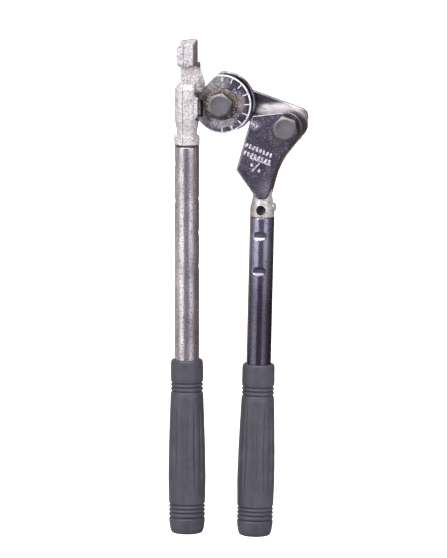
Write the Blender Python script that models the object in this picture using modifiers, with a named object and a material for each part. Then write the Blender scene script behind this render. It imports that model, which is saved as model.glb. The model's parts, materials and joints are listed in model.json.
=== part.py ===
"""Hand bender for 1/4 inch soft tube, lying on its back with the handles nearly closed.

Metres. +X is to the right, +Y runs along the handles towards the hook, +Z points away from the
table. Below, "the bend pivot" is the bolt through the form wheel: lengths along X and Y are
counted from it, and Z from the middle plane of the wheel's groove. The world's origin is the
middle of the whole tool's footprint, on the table. Outlines and profiles, the tuples of numbers
below, are in millimetres; an outline's corner is (x, y, rounding) and a profile's (radius, height).
"""

import math

import bmesh
import bpy
from mathutils import Matrix, Vector

MM = 0.001
GAP = 0.3 * MM  # left between pieces that touch
SEGMENTS = 40  # sides of a large round piece
FINE_SEGMENTS = 28  # sides of a small one

# The bend pivot's place in the world, so that the tool's box stands centred on the origin.
BEND_PIVOT = Vector((-6.9, 96.5, 16.85)) * MM

# The tube to be bent
WORK_TUBE_R = 3.175 * MM
BEND_R = 14.3 * MM  # radius of the bent tube's centre line
GROOVE_R = WORK_TUBE_R + 0.1 * MM

# Form wheel
WHEEL_HALF = 4.75 * MM
WHEEL_FRONT_R = 15.0 * MM
WHEEL_BACK_R = 15.65 * MM
WHEEL_LEFT_X = -12.2 * MM
WHEEL_CHORD = 12.5 * MM
WHEEL_CHORD_TURN = math.radians(136.5)
POCKET_LOW = Vector((-13.1, -7.1, -0.6)) * MM
POCKET_HIGH = Vector((-10.0, 1.8, 6.0)) * MM

# Handles: steel tubes in moulded grips
FIXED_AXIS_X = -19.4 * MM
TUBE_R = 6.35 * MM
TUBE_WALL = 1.2 * MM
TANG_R = TUBE_R - TUBE_WALL - GAP
TANG_END = -90.0 * MM
GRIP_FLOOR = 3.0 * MM
FIXED_GRIP = (-134.7 * MM, -225.8 * MM)  # top and foot
MOVING_GRIP = (-135.9 * MM, -225.8 * MM)
DENT_R = 4.0 * MM
DENT_DEPTH = 0.8 * MM

# Fixed handle's casting: its round part is turned about the handle's centre line
CASTING_PROFILE = (
    (0, 9.8),
    (4.9, 9.8),
    (6.2, 7.0),
    (6.2, -8.7),
    (4.6, -11.3),
    (4.6, -17.6),
    (6.1, -17.6),
    (6.6, -18.1),
    (6.6, -22.4),
    (6.2, -22.8),
)
COLLAR_END = CASTING_PROFILE[-1][1] * MM
NECK_LOW = Vector((-23.4, 8.0, -7.1)) * MM
NECK_HIGH = Vector((-14.3, 20.0, -4.0)) * MM
HOOK_BACK = -7.5 * MM
HOOK_FRONT = 4.0 * MM
HOOK_OUTLINE = ((-23.9, 36.0, 0), (-23.9, 18.4, 1.8), (-15.1, 18.4, 1.2), (-15.1, 36.0, 0))
HOOK_ROOF = 32.0 * MM  # the roof's height in its middle
HOOK_ROOF_SLOPE = math.radians(11)
LUG_LOW = Vector((-17.0, -8.6, -4.4)) * MM
LUG_HIGH = Vector((-12.5, 5.6, 4.0)) * MM
WEB_BACK = -6.7 * MM
WEB_FRONT = -WHEEL_HALF - GAP
WEB_OUTLINE = (
    (-17.5, 18.0, 0),
    (-15.2, 18.0, 0),
    (-12.9, 15.9, 2),
    (-10.9, 9.4, 1),
    (-11.2, -6.5, 2),
    (-14.0, -9.0, 2),
    (-17.5, -9.0, 0),
)

# Link plate, behind the wheel
LINK_LENGTH = 35.9 * MM
LINK_TURN = math.radians(-18.4)
LINK_THICK = 3.2 * MM
LINK_HEEL_R = 10.0
LINK_UNDERSIDE = (
    (4.5, -10.0, 4.0),
    (12.0, -5.8, 8.0),
    (25.0, -5.8, 8.0),
    (32.0, -9.4, 6.0),
    (43.3, -8.2, 5.0),
    (43.3, 10.0, 5.0),
)
SHIM_THICK = 0.6 * MM
LINK_FRONT = -WHEEL_HALF - 2 * GAP - SHIM_THICK
LINK_BACK = LINK_FRONT - LINK_THICK

# Shoe, the forged head of the moving handle; its outline is counted from its own pivot.
SHOE_BACK = -WHEEL_HALF
SHOE_FRONT = 5.5 * MM
SHOE_HUB_R = 8.6
SHOE_TOP_LEFT = (-18.85, 6.0, 1.8)
SHOE_LOWER = (
    (-4.8, -19.8, 35.0),
    (-10.0, -38.7, 4.0),
    (-15.8, -38.7, 4.5),
    (-27.2, -22.9, 1.2),
)
SHOE_FACE_TURN = math.radians(-16.1)  # the forming face looks back at the wheel along this
MOVING_AXIS_X = 20.73 * MM  # where the handle's centre line crosses Y = 0
MOVING_AXIS_LEAN = math.radians(1.01)
SHANK_TOP = -47.0 * MM
SHANK_END = -58.6 * MM
DIMPLE_R = 2.4 * MM
DIMPLE_AT = (0.3 * MM, -54.8 * MM)
CROSS_PIN_R = 2.3 * MM
CROSS_PIN_AT = -53.6 * MM

# Pivot bolts, 8 mm with 12 mm heads, and their lock nuts
BOLT_R = 4.0 * MM
HOLE_R = BOLT_R + GAP
HEX_FLATS = 12.0 * MM
HEX_FACE_R = 5.3 * MM
HEX_SLOPE = 1.1 * MM
HEAD_HEIGHT = 5.3 * MM
BEND_BOLT_TURN = math.radians(-11.0)
SHOE_BOLT_TURN = math.radians(-15.0)
WASHER_R = 8.3 * MM
WASHER_THICK = 1.6 * MM
BACK_WASHER_THICK = 1.2 * MM
NUT_HEIGHT = 3.8 * MM
NUT_COLLAR_R = 5.8 * MM
NUT_COLLAR_HEIGHT = 1.5 * MM
NUT_SEAT_R = 5.3 * MM
NUT_RING_R = 5.0 * MM
BOLT_STICKS_OUT = 0.6 * MM


def clear_scene():
    for obj in list(bpy.data.objects):
        bpy.data.objects.remove(obj)


def new_collection(name):
    collection = bpy.data.collections.new(name)
    bpy.context.scene.collection.children.link(collection)
    return collection


def new_finish(name, colour, metallic, roughness):
    finish = bpy.data.materials.new(name)
    finish.use_nodes = True
    shader = finish.node_tree.nodes["Principled BSDF"]
    shader.inputs["Base Color"].default_value = (*colour, 1.0)
    shader.inputs["Metallic"].default_value = metallic
    shader.inputs["Roughness"].default_value = roughness
    return finish


clear_scene()
PARTS = new_collection("tube_bender")
CUTTERS = new_collection("cutters")

NICKEL = new_finish("rough_nickel", (0.62, 0.60, 0.58), 1.0, 0.38)
CHROME = new_finish("worn_chrome", (0.60, 0.61, 0.64), 1.0, 0.16)
DARK_CHROME = new_finish("dark_chrome", (0.24, 0.25, 0.30), 1.0, 0.22)
BOLT_STEEL = new_finish("bolt_steel", (0.20, 0.21, 0.23), 1.0, 0.48)
RUST = new_finish("washer_rust", (0.38, 0.31, 0.26), 0.6, 0.60)
RUBBER = new_finish("grip_rubber", (0.045, 0.047, 0.055), 0.0, 0.55)
NYLON = new_finish("lock_nylon", (0.10, 0.16, 0.42), 0.0, 0.50)


def new_frame(name, parent, at=(0, 0, 0), turn=(0, 0, 0)):
    """An empty that its pieces are placed from."""
    frame = bpy.data.objects.new(name, None)
    PARTS.objects.link(frame)
    frame.parent = parent
    frame.location = at
    frame.rotation_euler = turn
    return frame


def place(obj, parent, finish):
    """A piece of the tool, or without a finish a helper that only cuts or joins."""
    obj.parent = parent
    if finish is None:
        CUTTERS.objects.link(obj)
        obj.display_type = "WIRE"
        obj.hide_render = True
    else:
        PARTS.objects.link(obj)
        obj.data.materials.append(finish)
    return obj


def turned(name, profile, parent, finish=None, at=(0, 0, 0), bored=False, steps=SEGMENTS):
    """A (radius, height) profile, outer side from the top down, turned about the local Z axis."""
    mesh = bpy.data.meshes.new(name)
    edges = [(i, i + 1) for i in range(len(profile) - 1)]
    if bored:
        edges.append((len(profile) - 1, 0))
    mesh.from_pydata([(r, 0, z) for r, z in profile], edges, [])
    obj = place(bpy.data.objects.new(name, mesh), parent, finish)
    obj.location = at
    screw = obj.modifiers.new("turn", "SCREW")
    screw.steps = steps
    screw.render_steps = steps
    screw.use_merge_vertices = True
    screw.merge_threshold = 0.00001
    return obj


def disc(name, radius, low, high, parent, finish=None, at=(0, 0), hole=0.0, steps=SEGMENTS):
    """A plain disc or, with a hole, a washer."""
    rim = [(radius, high), (radius, low)]
    ends = [(hole, low), (hole, high)]
    profile = [*rim, *ends] if hole else [(0, high), *rim, (0, low)]
    return turned(name, profile, parent, finish, (*at, 0), bool(hole), steps)


def block(name, low, high, parent):
    """A helper box between two corners."""
    mesh = bpy.data.meshes.new(name)
    shape = bmesh.new()
    size = high - low
    bmesh.ops.create_cube(shape, size=1, matrix=Matrix.Diagonal((*size, 1)))
    shape.to_mesh(mesh)
    shape.free()
    obj = place(bpy.data.objects.new(name, mesh), parent, None)
    obj.location = (low + high) / 2
    return obj


def rod(name, radius, start, end, parent, finish=None, segments=FINE_SEGMENTS, turn=0.0):
    """A straight bar between two points; six segments make it a hexagon."""
    start, end = Vector(start), Vector(end)
    axis = end - start
    mesh = bpy.data.meshes.new(name)
    shape = bmesh.new()
    bmesh.ops.create_cone(
        shape,
        cap_ends=True,
        segments=segments,
        radius1=radius,
        radius2=radius,
        depth=axis.length,
        matrix=Matrix.Rotation(turn, 4, "Z"),
    )
    shape.to_mesh(mesh)
    shape.free()
    obj = place(bpy.data.objects.new(name, mesh), parent, finish)
    obj.location = (start + end) / 2
    obj.rotation_euler = axis.to_track_quat("Z", "Y").to_euler()
    return obj


def rounded(corners):
    """An outline in metres from (x, y, radius) corners in millimetres, arcs at the corners."""
    outline = []
    count = len(corners)
    for i, (x, y, radius) in enumerate(corners):
        here = Vector((x, y))
        back = (Vector(corners[i - 1][:2]) - here).normalized()
        ahead = (Vector(corners[(i + 1) % count][:2]) - here).normalized()
        if not radius:
            outline.append(here * MM)
            continue
        half = back.angle(ahead) / 2
        middle = here + (back + ahead).normalized() * radius / math.sin(half)
        start = here + back * radius / math.tan(half) - middle
        sweep = start.angle_signed(here + ahead * radius / math.tan(half) - middle)
        steps = max(2, round(abs(math.degrees(sweep)) / 12))
        for step in range(steps + 1):
            point = middle + Matrix.Rotation(-sweep * step / steps, 2) @ start
            outline.append(point * MM)
    return outline


def arc(centre, radius, start, end, steps):
    """Points along a circle, from one angle in degrees to another, all in millimetres."""
    angles = [math.radians(start + (end - start) * i / steps) for i in range(steps + 1)]
    return [(centre[0] + radius * math.cos(a), centre[1] + radius * math.sin(a)) for a in angles]


def flat(name, outline, low, high, parent, finish=None):
    """A flat outline given thickness along the local Z axis."""
    curve = bpy.data.curves.new(name, "CURVE")
    curve.dimensions = "2D"
    curve.fill_mode = "BOTH"
    curve.extrude = (high - low) / 2
    spline = curve.splines.new("POLY")
    spline.points.add(len(outline) - 1)
    for point, (x, y) in zip(spline.points, outline):
        point.co = (x, y, 0, 1)
    spline.use_cyclic_u = True
    drawn = bpy.data.objects.new(name, curve)
    CUTTERS.objects.link(drawn)
    bpy.context.view_layer.update()
    depsgraph = bpy.context.evaluated_depsgraph_get()
    mesh = bpy.data.meshes.new_from_object(drawn.evaluated_get(depsgraph))
    bpy.data.objects.remove(drawn)
    shape = bmesh.new()
    shape.from_mesh(mesh)
    bmesh.ops.remove_doubles(shape, verts=shape.verts, dist=0.000001)
    bmesh.ops.recalc_face_normals(shape, faces=shape.faces)
    shape.to_mesh(mesh)
    shape.free()
    obj = place(bpy.data.objects.new(name, mesh), parent, finish)
    obj.location = (0, 0, (low + high) / 2)
    return obj


def soften(obj, width):
    """Takes the sharp edges off."""
    bevel = obj.modifiers.new("soften", "BEVEL")
    bevel.width = width
    bevel.segments = 1
    bevel.limit_method = "ANGLE"
    bevel.angle_limit = math.radians(40)


def combine(obj, other, operation):
    boolean = obj.modifiers.new(operation.lower(), "BOOLEAN")
    boolean.operation = operation
    boolean.object = other


def cut(obj, *cutters):
    for cutter in cutters:
        combine(obj, cutter, "DIFFERENCE")


def join(obj, *others):
    for other in others:
        combine(obj, other, "UNION")


def hex_body(name, low, high, turn, parent, finish, both_ends=False):
    """A hexagon whose corners are turned off at the top, and at the bottom too for a nut."""
    corner_r = HEX_FLATS / math.sqrt(3)
    slope_r = corner_r + 0.2 * MM
    fall = HEX_SLOPE * (slope_r - HEX_FACE_R) / (corner_r - HEX_FACE_R)
    hexagon = rod(name, corner_r, (0, 0, low), (0, 0, high), parent, finish, 6, turn)
    far = 1 * MM
    top = [(0, high + far), (HEX_FACE_R, high + far), (HEX_FACE_R, high), (slope_r, high - fall)]
    bottom = [(slope_r, low - far), (0, low - far)]
    if both_ends:
        bottom = [(slope_r, low + fall), (HEX_FACE_R, low), (HEX_FACE_R, low - far), (0, low - far)]
    combine(hexagon, turned(name + "_corners", [*top, *bottom], parent), "INTERSECT")
    return hexagon


def pivot_bolt(prefix, parent, head_seat, turn):
    """A bolt through the stack, with its back washer, lock nut and the nut's nylon ring."""
    washer_top = LINK_BACK - GAP
    washer_low = washer_top - BACK_WASHER_THICK
    nut_top = washer_low - GAP
    nut_low = nut_top - NUT_HEIGHT
    nut_end = nut_low - NUT_COLLAR_HEIGHT
    bolt_end = nut_end - BOLT_STICKS_OUT
    sunk = 1 * MM

    head_top = head_seat + HEAD_HEIGHT
    bolt = hex_body(prefix + "_bolt", head_seat, head_top, turn, parent, BOLT_STEEL)
    tip = BOLT_R - 0.7 * MM
    shank = [(0, head_seat + sunk), (BOLT_R, head_seat + sunk)]
    shank += [(BOLT_R, bolt_end + 0.7 * MM), (tip, bolt_end), (0, bolt_end)]
    join(bolt, turned(prefix + "_shank", shank, parent, steps=FINE_SEGMENTS))

    disc(prefix + "_back_washer", WASHER_R, washer_low, washer_top, parent, RUST, hole=HOLE_R)

    nut = hex_body(prefix + "_nut", nut_low, nut_top, turn, parent, BOLT_STEEL, both_ends=True)
    collar = disc(prefix + "_collar", NUT_COLLAR_R, nut_end, nut_low + sunk, parent)
    seat_floor = nut_low - 0.1 * MM
    seat = disc(prefix + "_seat", NUT_SEAT_R, nut_end - sunk, seat_floor, parent)
    thread = disc(prefix + "_thread", HOLE_R, nut_end - sunk, nut_top + sunk, parent)
    join(nut, collar)
    cut(nut, seat, thread)
    ring = (nut_end + 0.1 * MM, seat_floor - GAP)
    disc(prefix + "_nut_ring", NUT_RING_R, *ring, parent, NYLON, hole=HOLE_R)


def form_wheel(parent):
    """The grooved wheel, cut off where it meets the casting."""
    flare = math.degrees(math.acos((WHEEL_FRONT_R - BEND_R) / GROOVE_R))
    back_flare = math.degrees(math.acos((WHEEL_BACK_R - BEND_R) / GROOVE_R))
    groove = arc((BEND_R, 0), GROOVE_R, flare, 360 - back_flare, 12)
    profile = [(0, WHEEL_HALF), (WHEEL_FRONT_R, WHEEL_HALF), *groove]
    profile += [(WHEEL_BACK_R, -WHEEL_HALF), (0, -WHEEL_HALF)]
    wheel = turned("form_wheel", profile, parent, DARK_CHROME)
    far = 20 * MM
    depth = 6 * MM
    left_low = Vector((WHEEL_LEFT_X - far, -far, -depth))
    left = block("wheel_left", left_low, Vector((WHEEL_LEFT_X, far, depth)), parent)
    chord_low = Vector((WHEEL_CHORD, -far, -depth))
    chord = block("wheel_chord", chord_low, Vector((WHEEL_CHORD + far, far, depth)), parent)
    chord.rotation_euler.z = WHEEL_CHORD_TURN
    chord.location = Matrix.Rotation(WHEEL_CHORD_TURN, 3, "Z") @ chord.location
    pocket = block("wheel_pocket", POCKET_LOW, POCKET_HIGH, parent)
    bore = disc("wheel_bore", HOLE_R, -depth, depth, parent, steps=FINE_SEGMENTS)
    cut(wheel, left, chord, pocket, bore)


def handle_casting(parent, axis):
    """Barrel, collar and tang in one with the neck and the hook that holds the work tube."""
    outer = [(r * MM, z * MM) for r, z in CASTING_PROFILE]
    tang = [(TANG_R, COLLAR_END), (TANG_R, TANG_END), (0, TANG_END)]
    casting = turned("handle_casting", [*outer, *tang], axis, NICKEL, steps=FINE_SEGMENTS)

    neck = block("neck", NECK_LOW, NECK_HIGH, parent)
    hook = flat("hook", rounded(HOOK_OUTLINE), HOOK_BACK, HOOK_FRONT, parent)
    far = 20 * MM
    roof = block("hook_roof", Vector((-far, 0, -far)), Vector((far, far, far)), parent)
    tilt = Matrix.Rotation(HOOK_ROOF_SLOPE, 3, "X")
    roof.rotation_euler.x = HOOK_ROOF_SLOPE
    roof.location = Vector((FIXED_AXIS_X, HOOK_ROOF, 0)) + tilt @ roof.location
    soften(hook, 0.6 * MM)
    cut(hook, roof)
    web = flat("web", rounded(WEB_OUTLINE), WEB_BACK, WEB_FRONT, parent)
    lug = block("lug", LUG_LOW, LUG_HIGH, parent)
    pocket = block("lug_pocket", POCKET_LOW, POCKET_HIGH, parent)
    cut(lug, pocket)
    join(casting, neck, hook, web, lug)


def dent(name, side, height, axis):
    """A crimp pressed into a tube, on the side that a unit vector (x, y) points to."""
    out = Vector((side[0], side[1], 0))
    along = Vector((-side[1], side[0], 0)) * 10 * MM
    middle = out * (TUBE_R - DENT_DEPTH + DENT_R) + Vector((0, 0, height))
    return rod(name, DENT_R, middle - along, middle + along, axis, segments=20)


def handle_tube(name, top, grip_foot, dents, axis, finish):
    """The steel tube of a handle, crimped onto its tang."""
    bottom = grip_foot + GRIP_FLOOR + GAP
    tube = disc(name, TUBE_R, bottom, top, axis, finish, hole=TUBE_R - TUBE_WALL)
    for number, (side, height) in enumerate(dents):
        cut(tube, dent(f"{name}_dent_{number}", side, height * MM, axis))


def grip(name, top, foot, axis):
    """A moulded rubber grip, closed at its foot, with rings at both ends of its swell."""
    def ring_groove(depth, radius):
        return [(radius, depth - 0.7), (radius - 0.55, depth), (radius, depth + 0.7)]

    stations = [(7.2, 0), (8.1, 0.7), (8.4, 2.2), (8.45, 9.8)]
    for depth in (12.2, 14.3, 16.6):
        stations += ring_groove(depth, 8.25)
    stations += [(8.45, 20.0), (8.9, 30.0), (9.42, 46.0), (9.64, 62.0), (9.35, 73.0)]
    for depth in (75.9, 77.9, 80.0, 82.5):
        stations += ring_groove(depth, 9.25)
    stations += [(9.25, 84.5), (8.75, 88.4), (8.1, 90.4), (7.0, 91.0), (0, 91.0)]
    stretch = (top - foot) / stations[-1][1]
    outer = [(r * MM, top - depth * stretch) for r, depth in stations]
    bore_r = TUBE_R + GAP
    floor = foot + GRIP_FLOOR
    bore = [(0, floor), (bore_r, floor), (bore_r, top)]
    turned(name, [*outer, *bore, outer[0]][:-1], axis, RUBBER, bored=True, steps=32)


def link_plate(parent):
    """The flat link between the two pivots."""
    heel = [(x, y, 0) for x, y in arc((0, 0), LINK_HEEL_R, 90, 260, 15)]
    outline = rounded([*heel, *LINK_UNDERSIDE])
    plate = flat("link_plate", outline, LINK_BACK, LINK_FRONT, parent, DARK_CHROME)
    soften(plate, 0.4 * MM)
    over = 1 * MM
    for number, x in enumerate((0, LINK_LENGTH)):
        ends = (LINK_BACK - over, LINK_FRONT + over)
        hole = disc(f"link_hole_{number}", HOLE_R, *ends, parent, at=(x, 0), steps=FINE_SEGMENTS)
        cut(plate, hole)


def shim(name, parent):
    """The thin washer that spaces the link from what turns on it."""
    low = LINK_FRONT + GAP
    disc(name, WASHER_R - 0.5 * MM, low, low + SHIM_THICK, parent, BOLT_STEEL, hole=HOLE_R)


def shoe_head(parent, axis):
    """The forged shoe, its forming groove, and the shank that the handle's tube fits over."""
    hub = [(x, y, 0) for x, y in arc((0, 0), SHOE_HUB_R, 98, -39, 14)]
    corners = [SHOE_TOP_LEFT, *hub, *SHOE_LOWER]
    head = flat("shoe_head", rounded(corners), SHOE_BACK, SHOE_FRONT, parent, DARK_CHROME)
    soften(head, 1.1 * MM)

    shank = [(0, SHANK_TOP), (4.6 * MM, SHANK_TOP), (5.6 * MM, -50.8 * MM)]
    shank += [(TUBE_R, SHANK_END + 0.9 * MM), (TUBE_R, SHANK_END)]
    shank += [(TANG_R, SHANK_END), (TANG_R, TANG_END), (0, TANG_END)]
    join(head, turned("shoe_shank", shank, axis, steps=FINE_SEGMENTS))

    to_wheel = Vector((math.cos(SHOE_FACE_TURN), math.sin(SHOE_FACE_TURN), 0))
    along = Vector((to_wheel.y, -to_wheel.x, 0))
    wheel_centre = -LINK_LENGTH * Vector((math.cos(LINK_TURN), math.sin(LINK_TURN), 0))
    middle = wheel_centre + to_wheel * BEND_R
    reach = 60 * MM
    groove = rod("shoe_groove", GROOVE_R, middle - along * reach, middle + along * reach, parent)
    over = 1 * MM
    ends = (SHOE_BACK - over, SHOE_FRONT + over)
    bore = disc("shoe_bore", HOLE_R, *ends, parent, steps=FINE_SEGMENTS)
    x, height = DIMPLE_AT
    dimple = rod("shoe_dimple", DIMPLE_R, (x, -3.2 * MM, height), (x, -9 * MM, height), axis)
    pin_hole_r = CROSS_PIN_R + GAP
    ends = ((-4.0 * MM, 0, CROSS_PIN_AT), (9 * MM, 0, CROSS_PIN_AT))
    pin_hole = rod("cross_pin_hole", pin_hole_r, *ends, axis, segments=20)
    cut(head, groove, bore, dimple, pin_hole)


def cross_pin(axis):
    """The domed pin set across the shoe's shank."""
    profile = [(0, 7.3), (1.3, 7.1), (2.1, 6.5), (2.3, 5.9), (2.3, -3.6), (0, -3.6)]
    pin = turned("cross_pin", [(r * MM, z * MM) for r, z in profile], axis, NICKEL, steps=20)
    pin.rotation_euler.y = math.radians(90)
    pin.location.z = CROSS_PIN_AT


def build():
    tool = new_frame("tool_frame", None, BEND_PIVOT)
    link = new_frame("link_frame", tool, turn=(0, 0, LINK_TURN))
    shoe = new_frame("shoe_frame", link, (LINK_LENGTH, 0, 0), (0, 0, -LINK_TURN))
    upright = math.radians(-90)
    fixed_axis = new_frame("fixed_handle_axis", tool, (FIXED_AXIS_X, 0, 0), (upright, 0, 0))
    shoe_place = LINK_LENGTH * Vector((math.cos(LINK_TURN), math.sin(LINK_TURN), 0))
    axis_foot = Vector((MOVING_AXIS_X, 0, 0)) - shoe_place
    moving_axis = new_frame("moving_handle_axis", shoe, axis_foot, (upright, 0, -MOVING_AXIS_LEAN))

    handle_casting(tool, fixed_axis)
    form_wheel(tool)
    left, right, front = (-1, 0), (1, 0), (0, -1)
    fixed_dents = [(left, -32.3), (left, -51.5), (right, -51.0), (right, -68.6), (right, -86.0)]
    tube_top = COLLAR_END - GAP
    handle_tube("fixed_tube", tube_top, FIXED_GRIP[1], fixed_dents, fixed_axis, CHROME)
    grip("fixed_grip", *FIXED_GRIP, fixed_axis)
    washer = (WHEEL_HALF + GAP, WHEEL_HALF + GAP + WASHER_THICK)
    disc("bend_front_washer", WASHER_R, *washer, tool, RUST, hole=HOLE_R)
    pivot_bolt("bend", tool, washer[1] + GAP, BEND_BOLT_TURN)
    shim("bend_shim", tool)

    link_plate(link)
    pivot_bolt("shoe", shoe, SHOE_FRONT + GAP, SHOE_BOLT_TURN)
    shim("shoe_shim", shoe)

    shoe_head(shoe, moving_axis)
    cross_pin(moving_axis)
    moving_dents = [(front, -68.3), (front, -86.8)]
    tube_top = SHANK_END - GAP
    handle_tube("moving_tube", tube_top, MOVING_GRIP[1], moving_dents, moving_axis, DARK_CHROME)
    grip("moving_grip", *MOVING_GRIP, moving_axis)


build()
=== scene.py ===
"""Looks of the hand tube bender: its fine shapes, finishes, studio and camera.

Shapes are in millimetres. The tool's own frame has its origin on the bend pivot, in the middle
plane of the form wheel's groove, with X and Y as in the row frame and Z away from the table.
"""

import json
import math
from functools import partial

import bmesh
import bpy
import numpy as np
from mathutils import Matrix, Vector, noise


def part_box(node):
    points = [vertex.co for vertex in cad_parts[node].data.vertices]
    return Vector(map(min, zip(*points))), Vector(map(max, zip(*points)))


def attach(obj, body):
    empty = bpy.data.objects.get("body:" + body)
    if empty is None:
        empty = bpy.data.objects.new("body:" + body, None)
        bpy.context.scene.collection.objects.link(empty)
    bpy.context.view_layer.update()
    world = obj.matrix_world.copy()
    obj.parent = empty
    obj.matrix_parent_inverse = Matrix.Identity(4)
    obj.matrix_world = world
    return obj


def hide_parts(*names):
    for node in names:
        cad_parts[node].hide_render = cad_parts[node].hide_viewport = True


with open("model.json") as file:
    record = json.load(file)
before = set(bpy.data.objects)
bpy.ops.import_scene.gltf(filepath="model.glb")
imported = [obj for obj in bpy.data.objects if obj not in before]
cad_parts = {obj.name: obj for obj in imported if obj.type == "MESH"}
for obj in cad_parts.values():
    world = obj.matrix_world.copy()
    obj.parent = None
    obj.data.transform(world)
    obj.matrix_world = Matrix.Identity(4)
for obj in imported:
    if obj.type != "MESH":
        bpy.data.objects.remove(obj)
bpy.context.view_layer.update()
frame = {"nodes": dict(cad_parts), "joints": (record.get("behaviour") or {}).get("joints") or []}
MM = 0.001

# -------- places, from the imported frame

PIVOTS = {joint["name"]: Vector(joint["pos_m"]) for joint in frame["joints"]}
BEND_PIVOT = PIVOTS["link_swing"]
SHOE_PIVOT = PIVOTS["handle_swing"]
LINK_VECTOR = (SHOE_PIVOT - BEND_PIVOT) / MM
LINK_LENGTH = LINK_VECTOR.length

TOOL = Matrix.Translation(BEND_PIVOT)
SHOE = Matrix.Translation(SHOE_PIVOT)
LINK = TOOL @ Matrix.Rotation(math.atan2(LINK_VECTOR.y, LINK_VECTOR.x), 4, "Z")


def middle(node):
    low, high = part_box(node)
    return (low + high) / 2


def handle_frame(tube, grip):
    """On a handle's centre line, level with the bend pivot: Z up the handle, -Y at the viewer."""
    foot = middle(grip)
    up = (middle(tube) - foot).normalized()
    up.z = 0
    origin = foot + up * (BEND_PIVOT.y - foot.y) / up.y
    origin.z = BEND_PIVOT.z
    axes = Matrix((up.cross(Vector((0, 0, 1))), Vector((0, 0, -1)), up)).transposed()
    return Matrix.Translation(origin) @ axes.to_4x4()


FIXED_HANDLE = handle_frame("fixed_tube", "fixed_grip")
MOVING_HANDLE = handle_frame("moving_tube", "moving_grip")

# -------- dimensions

FIXED_AXIS_X = (FIXED_HANDLE.translation.x - BEND_PIVOT.x) / MM

# Form wheel
WHEEL_HALF = 4.75
WHEEL_FRONT_R = 15.2
WHEEL_BACK_R = 15.8
WHEEL_CHAMFER = 0.75
WHEEL_LIP = 1.1  # rounding of the back flange
TICK = (11.6, 14.6)  # inner and outer end of the scale's strokes
FIGURES_R = 9.6
FIGURE_SIZE = 3.1
WHEEL_LEFT_X = -12.2
WHEEL_CHORD = 12.5  # distance of the straight side from the pivot
WHEEL_CHORD_TURN = 136.5
POCKET = ((-13.1, -7.1, -0.6), (-10.0, 1.8, 6.0))
BEND_R = 14.3  # radius of the bent tube's centre line
GROOVE_R = 3.275
HOLE_R = 4.3

# Casting of the fixed handle: (radius, height) and its corner's rounding
CASTING_PROFILE = (
    (0, 9.8, 0),
    (4.6, 9.6, 0.5),
    (6.3, 6.9, 1.6),
    (6.3, -9.6, 5.0),
    (5.3, -15.0, 3.0),
    (5.2, -17.5, 0.5),
    (6.6, -17.6, 0.6),
    (6.6, -22.8, 0.5),
    (4.8, -22.8, 0),
    (4.8, -29.0, 0),
    (0, -29.0, 0),
)
NECK = ((-23.7, 8.0, -7.1), (-13.4, 20.0, -3.6))
HOOK_LEFT = -24.2
HOOK_RIGHT = -15.0
HOOK_UNDERSIDE = 18.5
HOOK_TOP = 30.9  # at the left
HOOK_TOP_SLOPE = 0.163  # its rise towards the right, for every millimetre
HOOK_OUTLINE = (
    (HOOK_LEFT, HOOK_TOP, 1.5),
    (HOOK_LEFT, HOOK_UNDERSIDE, 2.2),
    (HOOK_RIGHT, HOOK_UNDERSIDE, 1.2),
    (HOOK_RIGHT, 32.4, 1.7),
)
HOOK_BACK = -7.7
HOOK_FRONT = 4.2
HOOK_ROOF_SLOPE = math.radians(7)
LUG = ((-17.0, -8.6, -4.4), (-12.5, 5.6, 4.0))
WEB_LEVELS = (-6.7, -4.9)
WEB_OUTLINE = (
    (-17.5, 18.0, 0),
    (-15.2, 18.0, 0),
    (-12.9, 15.9, 2),
    (-10.9, 9.4, 1),
    (-11.2, -6.5, 2),
    (-14.0, -9.0, 2),
    (-17.5, -9.0, 0),
)
PARTING_X = 1.1  # the mould line's distance to the left of the handle's centre line

# Tubes and grips
TUBE_R = 6.35
TUBE_WALL = 1.2
PUNCH_R = 2.6
PUNCH_DEPTH = 1.2
FIXED_CRIMPS = (
    ((-1, 0), -32.3, 0.8),
    ((-1, 0), -51.5, 0.8),
    ((1, 0), -51.0, 0.7),
    ((1, 0), -68.6, 0.7),
    ((1, 0), -86.0, 0.7),
)
MOVING_CRIMPS = (((0, -1), -68.3, PUNCH_DEPTH), ((0, -1), -86.8, PUNCH_DEPTH))
GRIP_LENGTH = 91.0
GRIP_FLOOR = 3.0
GRIP_SWELL = (
    (0.0, 7.2), (0.25, 7.8), (0.8, 8.2), (2.2, 8.4), (9.8, 8.45), (11.0, 8.3), (17.8, 8.3),
    (19.0, 8.5), (30.0, 8.9), (46.0, 9.42), (62.0, 9.64), (73.0, 9.4), (75.0, 9.3),
    (83.6, 9.3), (85.0, 9.2), (88.4, 8.75), (90.0, 8.25), (90.7, 7.75), (91.0, 7.0),
)
GRIP_RINGS = (12.2, 14.3, 16.6, 75.9, 77.9, 80.0, 82.5)
RING_DEPTH = 0.75
FLUTES = 16
FLUTE_TURN = math.radians(-7)
FLUTE_ENDS = (21.5, 68.5)
FLUTE_DEPTH = 0.6

# Link plate
LINK_LEVELS = (-9.15, -5.95)
LINK_HEEL_R = 10.0
LINK_UNDERSIDE = (
    (4.5, -10.0, 4.0),
    (12.0, -5.8, 8.0),
    (25.0, -5.8, 8.0),
    (32.0, -9.4, 6.0),
    (43.3, -8.2, 5.0),
    (43.3, 10.0, 5.0),
)

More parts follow.
